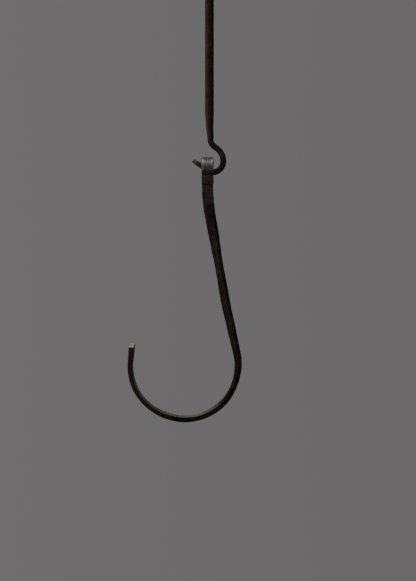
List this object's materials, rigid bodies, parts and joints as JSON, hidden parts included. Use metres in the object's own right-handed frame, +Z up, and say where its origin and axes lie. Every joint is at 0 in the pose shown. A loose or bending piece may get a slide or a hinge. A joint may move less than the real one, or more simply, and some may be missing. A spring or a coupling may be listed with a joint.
{
  "type": "hanging hook",
  "caption": "Forged flat-bar hook with a folded eye, hung on the small open hook at the foot of a round iron rod.",
  "frame": {"origin": "centre of the rod's top end", "axes": "+Z up along the rod; the hooks open in the XZ plane, the large one towards -X; -Y is the front, where the eye's lap lies"},
  "size_m": [0.1268, 0.0259, 0.4865],
  "materials": {
    "brown_iron": "satin",
    "black_iron": "satin"
  },
  "bodies": {
    "rod_body": {"rod": "brown_iron"},
    "hook_body": {"hook": "black_iron"}
  },
  "joints": [
    {"name": "hook_swing", "type": "hinge", "parent": "rod_body", "child": "hook_body", "pos_m": [-0.00223, 0, -0.20348], "axis": [1, 0, 0], "range_deg": [-45, 45]}
  ]
}
